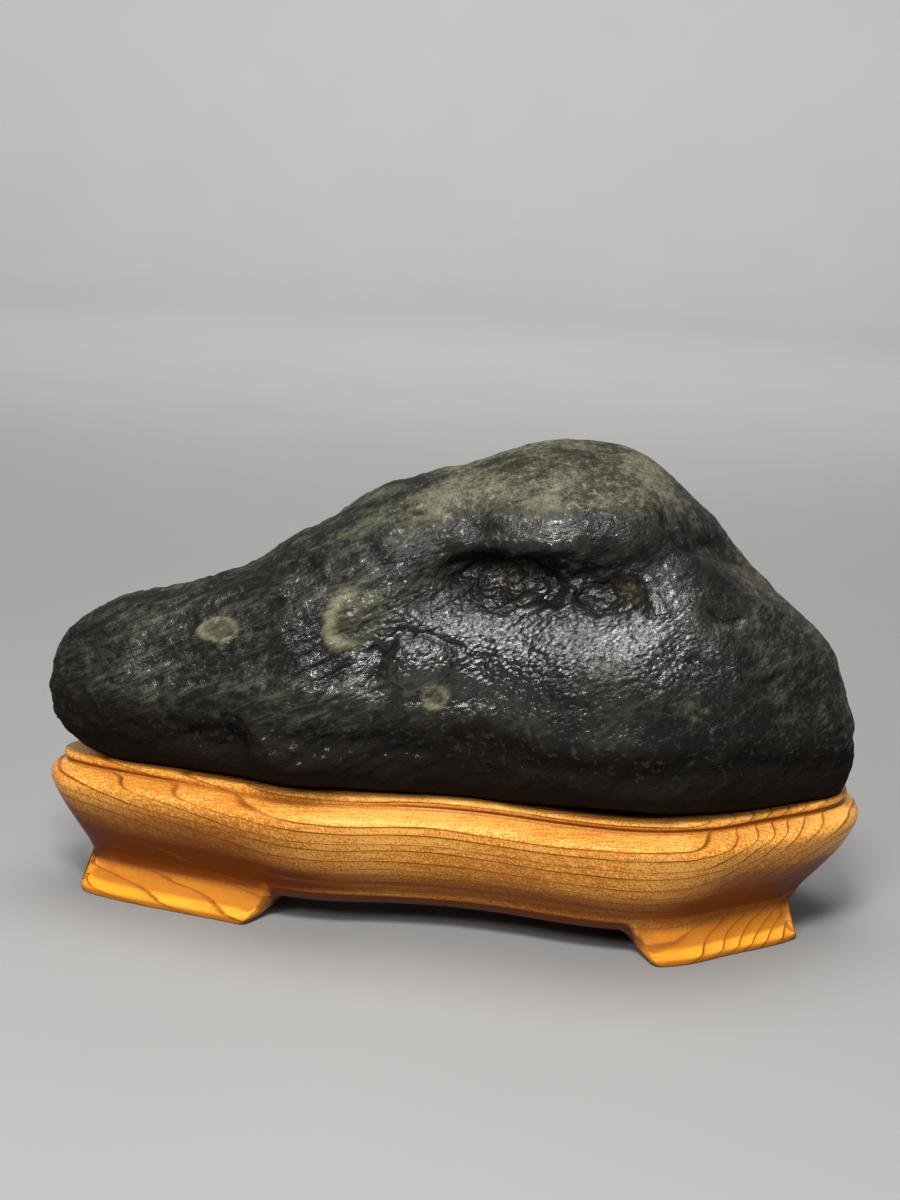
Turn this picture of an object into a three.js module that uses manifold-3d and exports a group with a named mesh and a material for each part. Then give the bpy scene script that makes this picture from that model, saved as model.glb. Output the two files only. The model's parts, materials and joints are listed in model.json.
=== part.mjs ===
// A dark waxed river stone that rests in a carved wooden stand.
// Millimetres, +Z up. X runs along the stone, from the low nose at -X to the bulky end at +X.
// -Y is the front. The origin is under the middle of the object, on the surface that the feet stand on.

import * as THREE from 'three';
import { ParametricGeometry } from 'three/addons/geometries/ParametricGeometry.js';
import { ImprovedNoise } from 'three/addons/math/ImprovedNoise.js';
import { mergeVertices } from 'three/addons/utils/BufferGeometryUtils.js';
import loadManifold from 'manifold-3d';

const wasm = await loadManifold();
wasm.setup();

// Stone outlines. The profile is the stone seen from the front, as [x, z] from the nose tip to the right tip.
const PROFILE_TOP = [
  [-153.5, 80], [-152, 91.5], [-144.5, 102], [-133, 112], [-126, 116.5], [-114, 118.5], [-99, 122.5],
  [-82, 128.5], [-73, 133.5], [-66, 141], [-52, 147.5], [-43, 153.5], [-33, 161], [-20, 165.5], [4, 173],
  [17, 178], [34, 182], [48, 181.5], [60, 180], [70, 175], [88, 161], [105, 143], [116, 131], [133, 116.5],
  [141.5, 107], [146.5, 92.5], [151, 79], [153, 68],
];
const PROFILE_UNDER = [
  [-153.5, 80], [-151, 72], [-142.5, 61], [-136, 56], [-115, 52], [-60, 49], [0, 48], [60, 47.5],
  [110, 47.5], [138, 49.5], [150, 57], [153, 68],
];
// The widest line of the stone seen from above, as [x, y] between the same two tips.
const PLAN_FRONT = [
  [-153.5, 2], [-151, -9], [-142, -18], [-124, -26.5], [-100, -34], [-76, -44], [-58, -49.5], [-38, -50],
  [-16, -48.5], [8, -51.5], [36, -59], [60, -62.5], [82, -60.5], [104, -50], [126, -35], [142, -21],
  [150, -9], [153, 3],
];
const PLAN_BACK = [
  [-153.5, 2], [-151, 12], [-140, 22], [-112, 33], [-72, 44], [-30, 53], [14, 62], [56, 66], [92, 60],
  [122, 46], [142, 28], [150, 15], [153, 3],
];
// The widest line's height and the ridge's depth, against x.
const BELLY_HEIGHT = [[-153.5, 80], [-120, 79], [-60, 77], [0, 74], [60, 74], [120, 75], [153, 68]];
const RIDGE_DEPTH = [[-153.5, 2], [-110, 2], [-40, 6], [30, 10], [80, 9], [125, 6], [153, 3]];
const SHOULDER_POWER = 2.15;
const KEEL_POWER = 1.95;

// Lumps and hollows of the stone. at is [x, z] on the front, or on the back where back is set. size is the
// half width and half height, tilt turns them in degrees, and depth is the push, outwards if positive.
const RELIEF = [
  { name: 'eye hollow', at: [22, 138], size: [27, 9], tilt: 6, depth: -14 },
  { name: 'second hollow', at: [52, 136], size: [14, 11], tilt: 20, depth: -8 },
  { name: 'recess under the brow', at: [60, 148], size: [22, 5], tilt: 4, depth: -4 },
  { name: 'brow', at: [28, 157], size: [36, 8], tilt: 5, depth: 5.5 },
  { name: 'shoulder crease', at: [96, 148], size: [25, 4.5], tilt: -38, depth: -5.5 },
  { name: 'right shoulder', at: [106, 124], size: [24, 20], tilt: -25, depth: 4 },
  { name: 'cheek', at: [46, 106], size: [44, 16], tilt: 0, depth: 3.5 },
  { name: 'cheek knob', at: [-14, 108], size: [12, 9.5], tilt: 20, depth: 5.5 },
  { name: 'knob furrow', at: [-30, 107], size: [5, 14], tilt: 14, depth: -3.5 },
  { name: 'nose flat', at: [-80, 102], size: [38, 12], tilt: 12, depth: -2.5 },
  { name: 'chin step', at: [-84, 77], size: [11, 8], tilt: -18, depth: -5 },
  { name: 'chin lobe', at: [-60, 70], size: [18, 9], tilt: -20, depth: 3 },
  { name: 'belly hollow', at: [0, 68], size: [28, 7], tilt: 0, depth: -3 },
  { name: 'back saddle', at: [-20, 120], size: [34, 26], tilt: 10, depth: -7, back: true },
  { name: 'back bulge', at: [50, 110], size: [34, 26], tilt: 0, depth: 5, back: true },
  { name: 'back furrow', at: [14, 128], size: [10, 34], tilt: -24, depth: -5, back: true },
  { name: 'back pit', at: [96, 112], size: [15, 11], tilt: 0, depth: -6, back: true },
  { name: 'back nose hollow', at: [-96, 92], size: [26, 10], tilt: 8, depth: -4, back: true },
];
const LUMP_HEIGHT = 1.6;
const LUMP_LENGTH = 26;
const LUMP_DETAIL = 2.3;
const LUMP_DETAIL_SHARE = 0.4;
const RIDGE_BLEND = 12;
const TIP_CROWDING = 0.45;
const NORMAL_STEP = 0.004;
const STONE_RINGS = 48;
const STONE_AROUND = 48;

// Stand. The rim plan is the outer edge of the lip seen from above, as [x, y] round from the left end.
const RIM_PLAN = [
  [-148, 4], [-145, -4], [-133, -11], [-116, -17.5], [-92, -25.5], [-64, -35], [-44, -37.5], [-18, -36.5],
  [2, -37.5], [20, -41], [40, -46.5], [60, -50], [78, -49.5], [96, -44], [114, -33], [138, -17.5],
  [148.5, -6], [151.5, 6], [149, 18], [140, 29], [118, 41], [88, 49], [50, 52], [10, 49], [-30, 43],
  [-65, 37], [-100, 30], [-128, 21], [-143, 13],
];
// The moulding's rows from the toe up to the lip's top: how far each stands out from the rim plan at the
// ends (x) and along the sides (y), and its height.
const MOULDING = [
  { x: -7.6, y: 0.5, z: 0 },
  { x: -7, y: 1, z: 1.4 },
  { x: -7.2, y: 0.7, z: 2.9 },
  { x: -9.6, y: -2, z: 4.7 },
  { x: -12, y: -4.9, z: 7.4 },
  { x: -13.2, y: -6.2, z: 11 },
  { x: -13, y: -5.6, z: 14.5 },
  { x: -10.6, y: -3.2, z: 19.5 },
  { x: -5.2, y: 1, z: 27 },
  { x: 1, y: 5.2, z: 36.5 },
  { x: 4.4, y: 7.6, z: 43.8 },
  { x: 4.7, y: 7.9, z: 46.4 },
  { x: 4, y: 6.7, z: 48.3 },
  { x: 2.2, y: 3.8, z: 49.6 },
  { x: -0.4, y: 0.2, z: 50.5 },
  { x: -1.5, y: -1.4, z: 51.3 },
  { x: -0.5, y: -0.5, z: 52.5 },
  { x: 0, y: 0, z: 53.7 },
  { x: -0.5, y: -0.6, z: 54.8 },
  { x: -2.4, y: -2.6, z: 55.3 },
];
// Rows that stand in from the rim plan are tucked in further at the right end.
const RIGHT_TUCK = 1.25;
const RIM_SEGMENTS = 100;
const BLOCK_MIDDLE = [0, 3];
const SEAT_GAP = 0.4;

// The space under the stand. The long arch runs from front to back, and an end arch opens each end.
const UNDERSIDE = 9;
const ARCH_LEFT = -77;
const ARCH_RIGHT = 80;
const ARCH_CURVE = 15;
const LEFT_END_ARCH = { from: -2, to: 16 };
const RIGHT_END_ARCH = { from: -15, to: 27 };
const END_ARCH_CURVE = 4;
// The handles that shape the end of an arch, as shares of its curve and of its height.
const ARCH_HANDLES = { lower: 0.4, upper: 0.55, rise: 0.3 };
const CUT_REACH = 200;

const STONE_COLOUR = 0x2b2c28;
const WOOD_COLOUR = 0xc98a45;

// A curve through the points, read as a height for any x.
function graph(points) {
  const curve = new THREE.SplineCurve(points.map(([x, y]) => new THREE.Vector2(x, y)));
  const samples = curve.getPoints(points.length * 12);
  return (x) => {
    const next = samples.findIndex((point) => point.x > x);
    if (next === 0) return samples[0].y;
    if (next < 0) return samples.at(-1).y;
    const [a, b] = [samples[next - 1], samples[next]];
    return THREE.MathUtils.mapLinear(x, a.x, b.x, a.y, b.y);
  };
}

const topAt = graph(PROFILE_TOP);
const underAt = graph(PROFILE_UNDER);
const frontAt = graph(PLAN_FRONT);
const backAt = graph(PLAN_BACK);
const bellyAt = graph(BELLY_HEIGHT);
const ridgeAt = graph(RIDGE_DEPTH);
const NOSE_TIP = PROFILE_TOP[0][0];
const RIGHT_TIP = PROFILE_TOP.at(-1)[0];

// Part of the way along the stone, with stations closer together near the two tips.
function stationAt(share) {
  const eased = (1 - Math.cos(Math.PI * share)) / 2;
  return THREE.MathUtils.lerp(NOSE_TIP, RIGHT_TIP, THREE.MathUtils.lerp(share, eased, TIP_CROWDING));
}

// The plain form: at each station, a closed section through the ridge, the front, the keel and the back.
function stoneForm(share, around, target) {
  const x = stationAt(share);
  const angle = around * Math.PI * 2;
  const up = Math.cos(angle);
  const side = Math.sin(angle);
  const ridge = ridgeAt(x);
  const belly = THREE.MathUtils.clamp(bellyAt(x), underAt(x), topAt(x));
  const reach = side > 0 ? frontAt(x) - ridge : backAt(x) - ridge;
  const rise = up > 0 ? topAt(x) - belly : underAt(x) - belly;
  const power = 2 / (up > 0 ? SHOULDER_POWER : KEEL_POWER);
  return target.set(x, ridge + reach * Math.abs(side) ** power, belly + rise * Math.abs(up) ** power);
}

// How far the relief pushes the surface out at a point of the plain form.
const noise = new ImprovedNoise();
function reliefAt(point) {
  const ridge = ridgeAt(point.x);
  const behind = THREE.MathUtils.smoothstep(point.y, ridge - RIDGE_BLEND, ridge + RIDGE_BLEND);
  let push = 0;
  for (const { at, size, tilt, depth, back } of RELIEF) {
    const turn = THREE.MathUtils.degToRad(tilt);
    const dx = point.x - at[0];
    const dz = point.z - at[1];
    const along = (dx * Math.cos(turn) + dz * Math.sin(turn)) / size[0];
    const across = (dz * Math.cos(turn) - dx * Math.sin(turn)) / size[1];
    push += depth * Math.exp(-(along ** 2 + across ** 2)) * (back ? behind : 1 - behind);
  }
  const coarse = point.clone().divideScalar(LUMP_LENGTH);
  const fine = coarse.clone().multiplyScalar(LUMP_DETAIL);
  const lumps = noise.noise(...coarse) + LUMP_DETAIL_SHARE * noise.noise(...fine);
  return push + LUMP_HEIGHT * lumps;
}

// The outward direction of the plain form.
function outwardAt(share, around) {
  const near = THREE.MathUtils.clamp(share, NORMAL_STEP, 1 - NORMAL_STEP);
  const ahead = stoneForm(near + NORMAL_STEP, around, new THREE.Vector3());
  ahead.sub(stoneForm(near - NORMAL_STEP, around, new THREE.Vector3()));
  const beside = stoneForm(near, around + NORMAL_STEP, new THREE.Vector3());
  beside.sub(stoneForm(near, around - NORMAL_STEP, new THREE.Vector3()));
  return beside.cross(ahead).normalize();
}

// The stone's surface: the plain form with the relief on it. grow makes the same stone a little larger.
function stoneSurface(grow) {
  return (share, around, target) => {
    stoneForm(share, around, target);
    if (share === 0) return target.setX(target.x - grow);
    if (share === 1) return target.setX(target.x + grow);
    return target.addScaledVector(outwardAt(share, around), reliefAt(target) + grow);
  };
}

// A closed surface of rows and segments whose first and last rows each shrink to a point.
function closedSurface(surface, rows, segments) {
  const grid = new ParametricGeometry((u, v, target) => surface(v, u === 1 ? 0 : u, target), segments, rows);
  grid.deleteAttribute('normal');
  grid.deleteAttribute('uv');
  const merged = mergeVertices(grid, 1e-3);
  const corners = merged.index.array;
  const kept = [];
  for (let i = 0; i < corners.length; i += 3) {
    const [a, b, c] = corners.subarray(i, i + 3);
    if (a !== b && b !== c && c !== a) kept.push(a, b, c);
  }
  merged.setIndex(kept);
  merged.computeVertexNormals();
  return merged;
}

// Solids for cutting, and the way back to a geometry.
function solidOf(geometry) {
  const plain = geometry.clone();
  plain.deleteAttribute('normal');
  plain.deleteAttribute('uv');
  const merged = mergeVertices(plain, 1e-3);
  return new wasm.Manifold(new wasm.Mesh({
    numProp: 3,
    vertProperties: new Float32Array(merged.attributes.position.array),
    triVerts: new Uint32Array(merged.index.array),
  }));
}

function geometryOf(solid) {
  const mesh = solid.getMesh();
  const geometry = new THREE.BufferGeometry();
  geometry.setAttribute('position', new THREE.BufferAttribute(new Float32Array(mesh.vertProperties), 3));
  geometry.setIndex(new THREE.BufferAttribute(new Uint32Array(mesh.triVerts), 1));
  geometry.computeVertexNormals();
  return geometry;
}

// The stand before cutting: the moulding swept round the rim plan, closed over the top and under the toes.
const rimCurve = new THREE.CatmullRomCurve3(RIM_PLAN.map(([x, y]) => new THREE.Vector3(x, y, 0)), true);
function standSurface(rise, around, target) {
  const row = Math.round(rise * (MOULDING.length + 1)) - 1;
  const { x, y, z } = MOULDING[THREE.MathUtils.clamp(row, 0, MOULDING.length - 1)];
  if (row < 0 || row >= MOULDING.length) return target.set(...BLOCK_MIDDLE, z);
  const tangent = rimCurve.getTangent(around);
  const endReach = x < 0 && tangent.y > 0 ? RIGHT_TUCK * x : x;
  rimCurve.getPoint(around, target);
  return target.add(new THREE.Vector3(tangent.y * endReach, -tangent.x * y, z));
}

// An arch to cut away, drawn from the ground up with curved ends, as wide at the ground as from and to.
function archSolid(from, to, curve) {
  const lower = ARCH_HANDLES.lower * curve;
  const upper = ARCH_HANDLES.upper * curve;
  const rise = ARCH_HANDLES.rise * UNDERSIDE;
  const outline = new THREE.Shape();
  outline.moveTo(from, -UNDERSIDE);
  outline.lineTo(from, 0);
  outline.bezierCurveTo(from + lower, rise, from + upper, UNDERSIDE, from + curve, UNDERSIDE);
  outline.lineTo(to - curve, UNDERSIDE);
  outline.bezierCurveTo(to - upper, UNDERSIDE, to - lower, rise, to, 0);
  outline.lineTo(to, -UNDERSIDE);
  outline.closePath();
  const settings = { depth: CUT_REACH, bevelEnabled: false, curveSegments: 8 };
  return new THREE.ExtrudeGeometry(outline, settings).rotateX(Math.PI / 2);
}

const stoneGeometry = closedSurface(stoneSurface(0), STONE_RINGS, STONE_AROUND);
const seat = solidOf(closedSurface(stoneSurface(SEAT_GAP), STONE_RINGS, STONE_AROUND));
const longArch = archSolid(ARCH_LEFT, ARCH_RIGHT, ARCH_CURVE).translate(0, CUT_REACH / 2, 0);
const rightArch = archSolid(RIGHT_END_ARCH.from, RIGHT_END_ARCH.to, END_ARCH_CURVE).rotateZ(Math.PI / 2);
const leftArch = archSolid(LEFT_END_ARCH.from, LEFT_END_ARCH.to, END_ARCH_CURVE).rotateZ(Math.PI / 2);
leftArch.translate(-CUT_REACH, 0, 0);
const block = solidOf(closedSurface(standSurface, MOULDING.length + 1, RIM_SEGMENTS));
const hollows = [longArch, rightArch, leftArch].map(solidOf).concat(seat);
const standSolid = hollows.reduce((solid, hollow) => solid.subtract(hollow), block);

const stone = new THREE.Mesh(
  stoneGeometry,
  new THREE.MeshStandardMaterial({ color: STONE_COLOUR, roughness: 0.35, metalness: 0 }),
);
stone.name = 'stone';

const stand = new THREE.Mesh(
  geometryOf(standSolid),
  new THREE.MeshStandardMaterial({ color: WOOD_COLOUR, roughness: 0.4, metalness: 0 }),
);
stand.name = 'stand';

// The object is set over the origin by the middle of its footprint.
const object = new THREE.Group();
object.add(stone, stand);
const box = new THREE.Box3().setFromObject(object, true);
const middle = box.getCenter(new THREE.Vector3());
object.position.set(-middle.x, -middle.y, -box.min.z);
export default object;
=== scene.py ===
# %% [markdown]
# # A waxed viewing stone on its carved stand
# A viewing stone is a natural stone that is kept for its shape. This one is a dark river stone, rubbed
# with wax, and it sits in a stand that was carved from one block of orange wood to fit its underside. The
# CAD frame holds both at their real size. This lesson gives them their surfaces: the relief of the stone,
# the clean moulding of the stand, and the two finishes.

# %% Load the frame
import json
import math

import bmesh
import bpy
import numpy as np
from mathutils import Matrix, Vector, noise

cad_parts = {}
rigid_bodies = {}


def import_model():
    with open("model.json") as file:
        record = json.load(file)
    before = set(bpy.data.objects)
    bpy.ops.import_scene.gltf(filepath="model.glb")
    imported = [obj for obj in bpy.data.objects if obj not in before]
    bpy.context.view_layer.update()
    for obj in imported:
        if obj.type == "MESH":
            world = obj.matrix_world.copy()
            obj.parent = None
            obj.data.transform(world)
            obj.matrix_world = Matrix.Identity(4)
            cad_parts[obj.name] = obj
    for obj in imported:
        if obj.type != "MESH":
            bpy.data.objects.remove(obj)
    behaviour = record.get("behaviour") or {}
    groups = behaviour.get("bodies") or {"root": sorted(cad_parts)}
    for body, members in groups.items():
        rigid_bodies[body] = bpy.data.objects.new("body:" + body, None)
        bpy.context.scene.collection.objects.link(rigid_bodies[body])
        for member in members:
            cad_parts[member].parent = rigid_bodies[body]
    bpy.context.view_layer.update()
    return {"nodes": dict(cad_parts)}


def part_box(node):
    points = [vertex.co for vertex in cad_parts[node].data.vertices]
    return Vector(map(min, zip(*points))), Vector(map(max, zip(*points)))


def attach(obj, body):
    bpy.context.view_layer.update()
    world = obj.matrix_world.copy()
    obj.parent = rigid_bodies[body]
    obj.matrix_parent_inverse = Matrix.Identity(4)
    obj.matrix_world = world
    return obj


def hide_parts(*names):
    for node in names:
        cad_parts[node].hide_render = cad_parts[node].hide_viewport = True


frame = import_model()
MM = 0.001

# %% [markdown]
# ## The camera
# The picture to match was taken by hand from a little above the stone, with the camera rolled by a few
# degrees. A camera could be aimed with a constraint, but a roll is easier to keep when its three
# directions are written down: right, up and back are the columns of its matrix. The focal length is given
# in pixels of a 900 x 1200 picture, because that is how it was fitted, and turned into millimetres for
# the long side of the sensor.

# %% Camera
LOOK_DOWN = math.radians(14)
ROLL = math.radians(3)
AIM = Vector((-5.3, -2.5, 121)) * MM
CAMERA_DISTANCE = 0.745
FOCAL_PIXELS = 2000
PICTURE_HEIGHT = 1200
SENSOR = 36.0


def place_camera():
    """Puts the camera at the picture's viewing angle and makes it the scene's camera."""
    forward = Vector((0, math.cos(LOOK_DOWN), -math.sin(LOOK_DOWN)))
    level = Vector((1, 0, 0))
    upright = level.cross(forward)
    right = level * math.cos(ROLL) + upright * math.sin(ROLL)
    up = upright * math.cos(ROLL) - level * math.sin(ROLL)
    lens = bpy.data.cameras.new("camera")
    lens.sensor_width = SENSOR
    lens.lens = SENSOR * FOCAL_PIXELS / PICTURE_HEIGHT
    camera = bpy.data.objects.new("camera", lens)
    turn = Matrix((right, up, -forward)).transposed().to_4x4()
    camera.matrix_world = Matrix.Translation(AIM - forward * CAMERA_DISTANCE) @ turn
    bpy.context.scene.collection.objects.link(camera)
    bpy.context.scene.camera = camera
    return camera


camera = place_camera()
print("camera:", [round(part, 4) for part in camera.location], "lens", round(camera.data.lens, 1), "mm")

# %% [markdown]
# ## From a CAD solid to a mesh that can take detail
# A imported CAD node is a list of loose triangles. Before a copy of it can be smoothed, its doubled corners
# are merged and its triangles are joined to four-sided faces where they pair up. Modifiers then do the
# heavy work, and their result is written back to the piece, so the finished mesh can be read and moved
# point by point.

# %% Helpers for pieces
def merged_copy(node):
    """A bmesh copy of a CAD node, with its doubles merged and its triangles paired."""
    shape = bmesh.new()
    shape.from_mesh(frame["nodes"][node].data)
    bmesh.ops.remove_doubles(shape, verts=shape.verts, dist=0.001 * MM)
    bmesh.ops.join_triangles(shape, faces=shape.faces, angle_face_threshold=math.radians(40),
                             angle_shape_threshold=math.radians(50))
    return shape


def new_piece(name, shape):
    """Turns a bmesh into an object at the origin."""
    mesh = bpy.data.meshes.new(name)
    shape.to_mesh(mesh)
    shape.free()
    piece = bpy.data.objects.new(name, mesh)
    bpy.context.scene.collection.objects.link(piece)
    return piece


def keep_modifiers(piece):
    """Writes the result of a piece's modifiers into its mesh."""
    graph = bpy.context.evaluated_depsgraph_get()
    rough = piece.data
    piece.data = bpy.data.meshes.new_from_object(piece.evaluated_get(graph))
    piece.modifiers.clear()
    bpy.data.meshes.remove(rough)


def smooth_form(node, name, levels):
    """A piece that rounds the facets of a CAD node with a subdivision surface."""
    piece = new_piece(name, merged_copy(node))
    rounding = piece.modifiers.new("round the facets", "SUBSURF")
    rounding.levels = levels
    rounding.render_levels = levels
    keep_modifiers(piece)
    return piece

# %% [markdown]
# ## The stone's body
# The CAD solid already has the stone's outline and its large hollows, in coarse facets. A subdivision
# surface rounds them, and a voxel remesh then gives an even skin of small squares, about one millimetre
# across. An even skin matters because the next step pushes each point in or out: long thin faces would
# show as streaks.

# %% Stone body
STONE_GRAIN = 1.22 * MM
stone = smooth_form("stone", "viewing_stone", 2)
skin = stone.modifiers.new("even skin", "REMESH")
skin.mode = "VOXEL"
skin.voxel_size = STONE_GRAIN
keep_modifiers(stone)
print("stone body:", len(stone.data.vertices), "points")

# %% [markdown]
# ## Tools for carving with numbers
# The relief could be painted in sculpt mode, but a script has to give the same stone each time. So each
# point gets a number that says how far it moves along its normal, and the number is a sum of layers.
# NumPy holds all the points at once. A soft step fades a layer in or out.

# %% Carving tools
def read_points(mesh):
    """The places and the outward normals of a mesh's points, as two arrays."""
    places = np.empty(len(mesh.vertices) * 3)
    mesh.vertices.foreach_get("co", places)
    normals = np.empty(len(mesh.vertices) * 3)
    mesh.vertex_normals.foreach_get("vector", normals)
    return places.reshape(-1, 3), normals.reshape(-1, 3)


def write_points(mesh, places):
    """Moves a mesh's points."""
    mesh.vertices.foreach_set("co", places.ravel())
    mesh.update()


def soft_step(start, end, values):
    """0 at start, 1 at end and a smooth ramp between."""
    ramp = np.clip((values - start) / (end - start), 0, 1)
    return ramp * ramp * (3 - 2 * ramp)

# %% [markdown]
# ## Noise for a worn surface
# Running water and sand leave soft lumps, sharp ribs, pits and angular chunks. Blender has a noise
# function close to each, and a texture could hold them, but here they are sampled at the points, so that
# they can be added up and masked. The seed is fixed, because the noise would otherwise differ from run to
# run.

# %% Noise patterns
NOISE_SEED = 4
noise.seed_set(NOISE_SEED)


def sample(pattern, places, size):
    """A noise pattern at each place. Its features are about size across, which may differ by axis."""
    return np.array([pattern(Vector(place)) for place in (places / size).tolist()])


def billows(place):
    """Soft noise in three octaves, about -1 to 1."""
    return noise.fractal(place, 1.0, 2.0, 3)


def ridges(place):
    """Noise with sharp crests and broad valleys, about 0 to 2."""
    return noise.ridged_multi_fractal(place, 1.0, 2.1, 3, 1.0, 2.0)


def dimples(place):
    """The distance to the nearest of scattered points, 0 at each point."""
    return noise.voronoi(place)[0][0]


def chunks(place):
    """Angular lumps with a crevice between neighbours, 0 in the crevice and up to 1."""
    near = noise.voronoi(place)[0]
    return min(2 * (near[1] - near[0]), 1)


def wander(places, size, reach):
    """Moves places a little, so that forms laid on them get uneven borders."""
    drift = [noise.noise_vector(Vector(place)) for place in (places / size).tolist()]
    return places + reach * np.array(drift)


print("noise seed:", NOISE_SEED)

# %% [markdown]
# ## Dabs and grooves
# A dent, a knob or a stain has a place on the front of the stone, and a crack is a bent line there. A dab
# is a soft ellipse and a groove is a soft line, both as they are seen from the front. Brushes in sculpt
# mode leave much the same marks, but these can be written down.

# %% Dabs and grooves
def dab(places, at, half_size, lean=0, edge=1):
    """A soft ellipse in the front view: 1 at its middle and 0 well outside. edge sharpens its border."""
    turn = math.radians(lean)
    across = places[:, 0] - at[0] * MM
    above = places[:, 2] - at[1] * MM
    along = (across * math.cos(turn) + above * math.sin(turn)) / (half_size[0] * MM)
    beside = (above * math.cos(turn) - across * math.sin(turn)) / (half_size[1] * MM)
    return np.exp(-((along ** 2 + beside ** 2) ** edge))


def groove(places, line, half_width):
    """1 along a line of front-view points and 0 well beyond its half width."""
    nearest = np.full(len(places), np.inf)
    spots = places[:, [0, 2]] / MM
    for start, end in zip(line[:-1], line[1:]):
        run = np.subtract(end, start)
        share = np.clip((spots - start) @ run / (run @ run), 0, 1)
        nearest = np.minimum(nearest, np.linalg.norm(spots - start - share[:, None] * run, axis=1))
    return np.exp(-((nearest / half_width) ** 2))

# %% [markdown]
# ## The stone's own dents, knobs and cracks
# Water has worn this stone unevenly. Its crown and right shoulder are nearly smooth, the hollow in its
# face is deep and ragged, and its long nose is ribbed by layers that rise to the right. The forms that an
# owner would know the stone by come first, each with a name, a place and a height. They could be sculpted
# by hand, but a row in a list is easier to move and to compare with the real one. The places are shifted
# by two sizes of noise, so that no border is a true ellipse.

# %% Dents, knobs and cracks of the front
FRONT_FORMS = (
    # what it is, middle x and z, half sizes, lean, height, sharpness of its border
    ("eye hollow", (20, 138.5), (26, 8.5), 4, -5.5, 1.2),
    ("depth of the eye", (12, 141), (15, 5), 3, -4.0, 1),
    ("left corner of the eye", (-2, 139.5), (8, 4), -8, -2.0, 1),
    ("brow over the eye", (24, 151), (30, 4.5), 5, 1.8, 1),
    ("bridge in the eye", (37, 137), (3.6, 7), 18, 1.8, 1),
    ("second hollow", (49, 135.5), (13, 6.5), -12, -3.2, 1),
    ("knob beside the eye", (65.5, 134), (5.5, 5), 0, 1.8, 1),
    ("lid under the eye", (25, 128), (30, 2.6), 3, 1.1, 1),
    ("shoulder dent", (92, 131), (8, 2.8), -14, -2.8, 1.5),
    ("cheek knob", (-16.5, 109), (12.5, 9), 12, 3.4, 2),
    ("chin notch", (-79, 75), (5, 8), 15, -3.2, 1),
    ("chin lobe", (-62, 71), (13, 7), -10, 2.8, 1.5),
    ("recess under the nose", (-96, 73), (20, 6.5), -8, -4.4, 1),
    ("pit under the crest", (-59, 136.5), (7, 2.4), 14, -2.0, 1.5),
    ("brow dent", (5, 156), (9, 2.4), 12, -1.0, 1.5),
)
FRONT_LINES = (
    # what it is, points x and z, half width, height
    ("belly edge", ((-35, 94), (-9, 92), (31, 89), (65, 88), (105, 93), (140, 84)), 6, 1.7),
    ("undercut", ((-60, 79), (-35, 79), (-9, 77), (31, 74), (65, 73), (105, 77), (136, 70)), 9, -4.2),
    ("furrow over the cheek knob", ((-28, 112), (-21, 119), (-10, 120), (-2, 115)), 1.8, -2.2),
    ("crack beside the round stain", ((-30.5, 114), (-29.5, 110), (-31, 104)), 1.4, -2.4),
    ("shoulder crease", ((70, 161), (80, 154), (98, 145), (112, 133)), 2.4, -2.8),
    ("crack over the shoulder", ((79, 118), (87, 114.5), (93, 115.5)), 1.4, -1.6),
    ("crack in the cheek", ((99, 112), (107, 108), (112, 108.5)), 1.4, -1.6),
    ("split in the lobe", ((-63, 74), (-52, 72), (-44, 75)), 1.4, -1.5),
    ("crack under the nose", ((-100, 84), (-90, 86), (-80, 84)), 2.2, -1.0),
)
smooth_places, smooth_normals = read_points(stone.data)
front = soft_step(0.1, -0.35, smooth_normals[:, 1])


def carve_named_forms(places):
    """The height of the dents, knobs and cracks of the front, in metres."""
    height = np.zeros(len(places))
    for form, at, half_size, lean, rise, edge in FRONT_FORMS:
        height += rise * MM * dab(places, at, half_size, lean, edge)
    for form, line, half_width, rise in FRONT_LINES:
        height += rise * MM * groove(places, line, half_width)
    return height * front


waved_places = wander(smooth_places, 14 * MM, 2.8 * MM)
uneven_places = wander(waved_places, 6 * MM, 1.5 * MM)
named_relief = carve_named_forms(uneven_places)
print("named forms: from", round(named_relief.min() / MM, 1), "to", round(named_relief.max() / MM, 1), "mm")

# %% [markdown]
# ## Where each kind of wear is
# The nose, the right end, the hollow of the eye and the belly each wore in a way of their own, and the
# wax lies thickest where hands rub it in. So each part gets a mask, a number from 0 to 1 on each point.
# The same masks serve the relief and, later, the finish, which keeps the two in step.

# %% Masks of wear
WAXED = (
    # middle x and z, half sizes, lean, strength
    ((34, 131), (54, 25), -6, 0.55),
    ((-4, 109), (38, 15), 0, 1.0),
    ((42, 108), (16, 9), 0, -0.55),
    ((-30, 139), (26, 13), 24, -0.7),
    ((84, 120), (24, 14), -20, 0.9),
)
nose_side = soft_step(5 * MM, -40 * MM, smooth_places[:, 0])
shoulder_side = soft_step(60 * MM, 90 * MM, smooth_places[:, 0])
right_side = soft_step(85 * MM, 115 * MM, smooth_places[:, 0])
underside = soft_step(91 * MM, 77 * MM, uneven_places[:, 2])
ragged = np.clip(dab(uneven_places, (25, 138), (42, 12), 3, 1.5), 0, 1)
pebbled = np.clip(0.35 + 0.65 * dab(uneven_places, (15, 116), (75, 24), 0, 1.5) + 0.5 * ragged, 0, 1)
waxed = sum(share * dab(uneven_places, at, half_size, lean, 1.3) for at, half_size, lean, share in WAXED)
waxed = np.clip(waxed, 0, 1) * front
print("wax on", round(100 * float((waxed > 0.5).mean())), "% of the points")

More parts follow.
